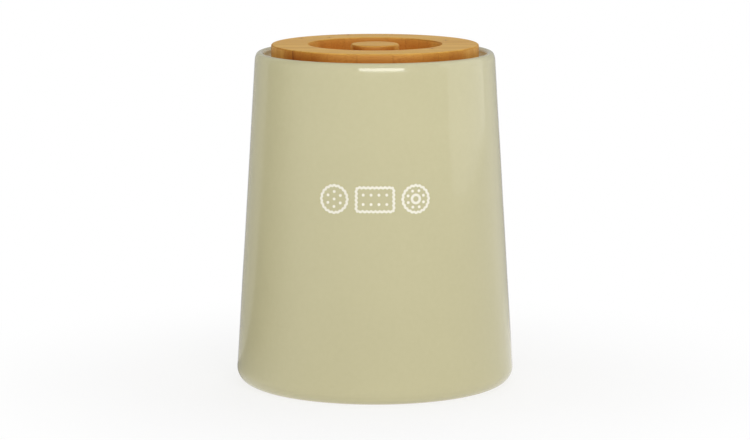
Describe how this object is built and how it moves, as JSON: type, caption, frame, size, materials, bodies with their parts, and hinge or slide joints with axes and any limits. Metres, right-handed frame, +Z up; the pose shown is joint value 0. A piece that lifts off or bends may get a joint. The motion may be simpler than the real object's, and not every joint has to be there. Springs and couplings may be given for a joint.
{
  "type": "biscuit jar with bamboo lid",
  "caption": "Round tapered glazed stoneware jar with a rolled lip; a bamboo lid with a finger dish and central knob drops into its mouth on a seal.",
  "frame": {"origin": "centre of the foot, on the surface that the jar stands on", "axes": "+Z up along the jar's own axis; the printed front of the jar faces -Y"},
  "size_m": [0.1648, 0.1648, 0.202],
  "materials": {
    "glaze": "glossy stone-green glaze, bare foot ring",
    "bamboo_ring": "satin laminated bamboo",
    "bamboo_plug": "satin laminated bamboo",
    "bamboo_knob": "satin laminated bamboo",
    "silicone": "translucent white food-safe silicone, matte",
    "steel": "plain stainless steel"
  },
  "bodies": {
    "jar": {"jar_body": "glaze"},
    "lid": {"lid_ring": "bamboo_ring", "lid_plug": "bamboo_plug", "knob": "bamboo_knob", "seal_ring": "silicone", "knob_screw": "steel"}
  },
  "joints": [
    {"name": "lid_lift", "type": "slide", "parent": "jar", "child": "lid", "axis": [0, 0, 1], "range_m": [0, 0.1]}
  ]
}
